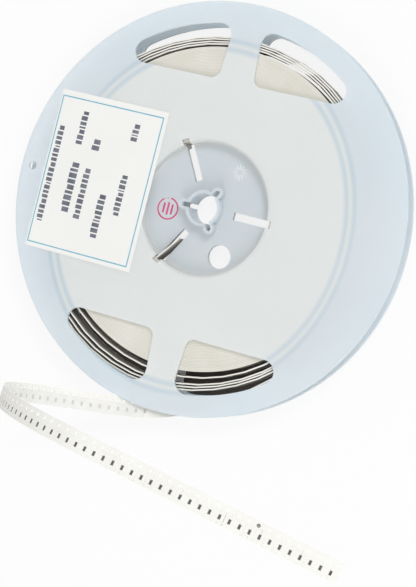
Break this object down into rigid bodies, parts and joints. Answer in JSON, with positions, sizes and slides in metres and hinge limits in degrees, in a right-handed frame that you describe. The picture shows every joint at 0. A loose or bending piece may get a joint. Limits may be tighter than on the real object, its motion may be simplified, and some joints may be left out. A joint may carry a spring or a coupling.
{
  "type": "component tape reel",
  "caption": "Flat two-flange plastic reel wound with narrow punched paper tape carrying small chips, the free end springing out at the rim into a wide loop.",
  "frame": {"origin": "on the arbor bore's axis, at the outer face of the back flange", "axes": "+Z along the bore, out of the labelled face; +Y along the spoke between the two upper windows; +X away from the label"},
  "size_m": [0.2065, 0.2068, 0.1089],
  "materials": {
    "reel_plastic": "satin, milky and slightly see-through",
    "tape_paper": "matt paper",
    "chip_body": "glazed",
    "label_paper": "smooth paper"
  },
  "bodies": {
    "root": {"front_half": "reel_plastic", "back_half": "reel_plastic", "tape_roll": "tape_paper", "loose_turns": "tape_paper", "free_tape": "tape_paper", "tape_tail": "tape_paper", "chips": "chip_body", "label": "label_paper"}
  },
  "joints": []
}
